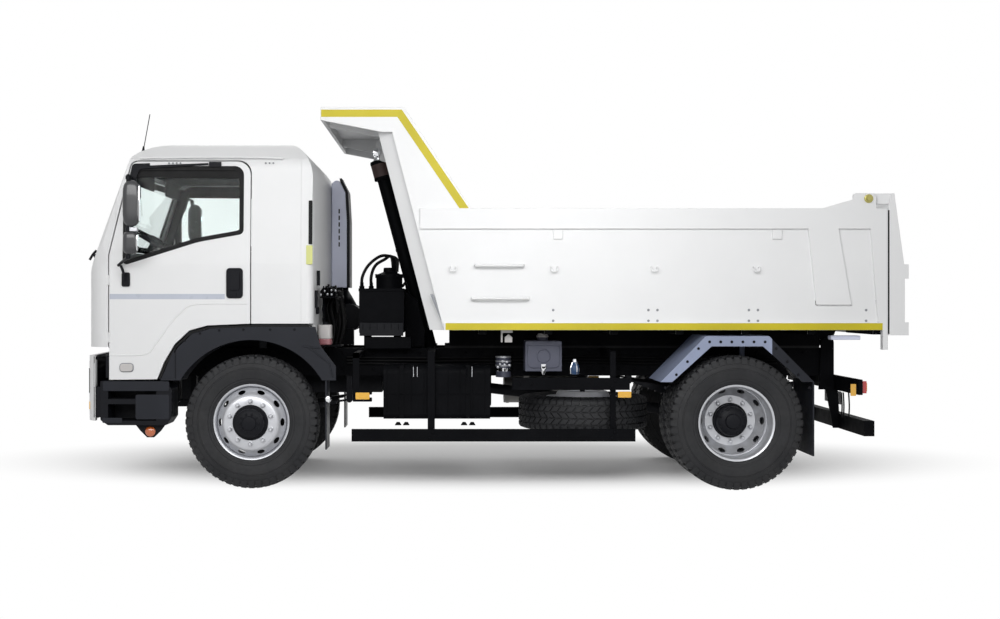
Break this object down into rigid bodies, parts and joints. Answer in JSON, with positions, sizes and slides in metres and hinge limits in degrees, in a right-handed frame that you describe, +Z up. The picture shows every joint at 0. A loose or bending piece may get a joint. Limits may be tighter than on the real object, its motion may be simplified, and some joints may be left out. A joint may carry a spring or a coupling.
{
  "type": "dump truck",
  "caption": "Cab-over tipper truck with a tilting cab, opening doors, steered front wheels, a canopied tipping bed, top-hung tailgate and a front telescopic hoist.",
  "frame": {"origin": "on the ground under the middle of the truck's bounding box", "axes": "-X forward (the cab), +Z up, +Y to the truck's right"},
  "size_m": [6.4747, 2.76, 2.982],
  "materials": {
    "white_paint": "gloss",
    "black_frame": "satin",
    "dark_cast": "matt",
    "black_plastic": "matt",
    "rubber": "matt",
    "tyre": "matt",
    "silver_paint": "satin",
    "glass": "clear",
    "lamp": "gloss",
    "red_lamp": "gloss",
    "grey_tank": "satin",
    "floor_grey": "matt",
    "seat_fabric": "woven",
    "dash_plastic": "matt",
    "steel_rod": "polished",
    "muffler_steel": "satin"
  },
  "bodies": {
    "chassis": {"bed_pivot_brackets": "black_frame", "bed_strips": "rubber", "bumper": "white_paint", "cab_mounts": "black_frame", "crossmembers": "black_frame", "drive_shaft": "dark_cast", "engine_gearbox": "dark_cast", "entry_steps": "black_plastic", "fluid_tank": "grey_tank", "frame_rails": "black_frame", "front_axle": "dark_cast", "headlamps": "lamp", "hoist_oil_tank": "black_frame", "leaf_springs": "dark_cast", "mudguards": "black_plastic", "muffler": "muffler_steel", "radiator": "black_plastic", "rear_axle": "dark_cast", "rear_bar": "black_frame", "side_boxes": "black_frame", "side_guards": "black_frame", "spare_carrier": "black_frame", "spare_tyre": "tyre", "spare_wheel": "silver_paint", "tail_lamps": "red_lamp"},
    "cab": {"cab_back": "white_paint", "cab_floor": "floor_grey", "cab_front": "white_paint", "cab_glass": "glass", "cab_roof": "white_paint", "cab_sides": "white_paint", "dashboard": "dash_plastic", "steering_wheel": "dash_plastic", "seats": "seat_fabric", "snorkel": "black_plastic"},
    "bed": {"bed_floor": "white_paint", "bed_sides": "white_paint", "headboard": "white_paint"},
    "tailgate": {"tailgate": "white_paint"},
    "hoist_barrel": {"hoist_barrel": "black_frame"},
    "hoist_stage_1": {"hoist_stage_1": "steel_rod"},
    "hoist_stage_2": {"hoist_stage_2": "steel_rod"},
    "hoist_stage_3": {"hoist_stage_3": "steel_rod"},
    "tie_rod": {"tie_rod": "dark_cast"},
    "door_left": {"door_left": "white_paint", "door_glass_left": "glass", "mirror_left": "black_plastic"},
    "knuckle_left": {"knuckle_left": "dark_cast"},
    "front_wheel_left": {"front_tyre_left": "tyre", "front_wheel_left": "silver_paint"},
    "rear_wheels_left": {"rear_tyres_left": "tyre", "rear_wheels_left": "silver_paint"},
    "door_right": {"door_right": "white_paint", "door_glass_right": "glass", "mirror_right": "black_plastic"},
    "knuckle_right": {"knuckle_right": "dark_cast"},
    "front_wheel_right": {"front_tyre_right": "tyre", "front_wheel_right": "silver_paint"},
    "rear_wheels_right": {"rear_tyres_right": "tyre", "rear_wheels_right": "silver_paint"}
  },
  "joints": [
    {"name": "steer_left", "type": "hinge", "parent": "chassis", "child": "knuckle_left", "pos_m": [-1.8755, -0.87, 0.525], "axis": [0, 0, 1], "range_deg": [-38, 38]},
    {"name": "front_wheel_left_spin", "type": "hinge", "parent": "knuckle_left", "child": "front_wheel_left", "pos_m": [-1.8755, -0.985, 0.525], "axis": [0, 1, 0], "continuous": true},
    {"name": "rear_wheels_left_spin", "type": "hinge", "parent": "chassis", "child": "rear_wheels_left", "pos_m": [1.9145, -0.922, 0.525], "axis": [0, 1, 0], "continuous": true},
    {"name": "steer_right", "type": "hinge", "parent": "chassis", "child": "knuckle_right", "pos_m": [-1.8755, 0.87, 0.525], "axis": [0, 0, 1], "range_deg": [-38, 38]},
    {"name": "front_wheel_right_spin", "type": "hinge", "parent": "knuckle_right", "child": "front_wheel_right", "pos_m": [-1.8755, 0.985, 0.525], "axis": [0, 1, 0], "continuous": true},
    {"name": "rear_wheels_right_spin", "type": "hinge", "parent": "chassis", "child": "rear_wheels_right", "pos_m": [1.9145, 0.922, 0.525], "axis": [0, 1, 0], "continuous": true},
    {"name": "tie_rod_swing", "type": "hinge", "parent": "knuckle_left", "child": "tie_rod", "pos_m": [-1.6755, -0.87, 0.405], "axis": [0, 0, 1], "range_deg": [-38, 38]},
    {"name": "cab_tilt", "type": "hinge", "parent": "chassis", "child": "cab", "pos_m": [-3.1335, 0, 1.096], "axis": [0, -1, 0], "range_deg": [0, 45]},
    {"name": "door_left_swing", "type": "hinge", "parent": "cab", "child": "door_left", "pos_m": [-2.9875, -1.13, 1.4], "axis": [0, 0, -1], "range_deg": [0, 70]},
    {"name": "door_right_swing", "type": "hinge", "parent": "cab", "child": "door_right", "pos_m": [-2.9875, 1.13, 1.4], "axis": [0, 0, 1], "range_deg": [0, 70]},
    {"name": "bed_tilt", "type": "hinge", "parent": "chassis", "child": "bed", "pos_m": [2.8245, 0, 1.125], "axis": [0, 1, 0], "range_deg": [0, 50]},
    {"name": "tailgate_swing", "type": "hinge", "parent": "bed", "child": "tailgate", "pos_m": [2.9275, 0, 2.269], "axis": [0, -1, 0], "range_deg": [0, 70]},
    {"name": "hoist_lean", "type": "hinge", "parent": "chassis", "child": "hoist_barrel", "pos_m": [-0.4855, 0, 1.05], "axis": [0, 1, 0], "range_deg": [0, 43.1]},
    {"name": "hoist_slide_1", "type": "slide", "parent": "hoist_barrel", "child": "hoist_stage_1", "axis": [-0.2593, 0, 0.9658], "range_m": [0, 0.926]},
    {"name": "hoist_slide_2", "type": "slide", "parent": "hoist_stage_1", "child": "hoist_stage_2", "axis": [-0.2593, 0, 0.9658], "range_m": [0, 0.926]},
    {"name": "hoist_slide_3", "type": "slide", "parent": "hoist_stage_2", "child": "hoist_stage_3", "axis": [-0.2593, 0, 0.9658], "range_m": [0, 0.926]}
  ],
  "couplings": [
    {"joint": "steer_right", "follows": "steer_left", "ratio": 1},
    {"joint": "tie_rod_swing", "follows": "steer_left", "ratio": -1},
    {"joint": "hoist_lean", "follows": "bed_tilt", "ratio": 0.86164},
    {"joint": "hoist_slide_1", "follows": "bed_tilt", "m_per_rad": 1.0609},
    {"joint": "hoist_slide_2", "follows": "bed_tilt", "m_per_rad": 1.0609},
    {"joint": "hoist_slide_3", "follows": "bed_tilt", "m_per_rad": 1.0609}
  ]
}
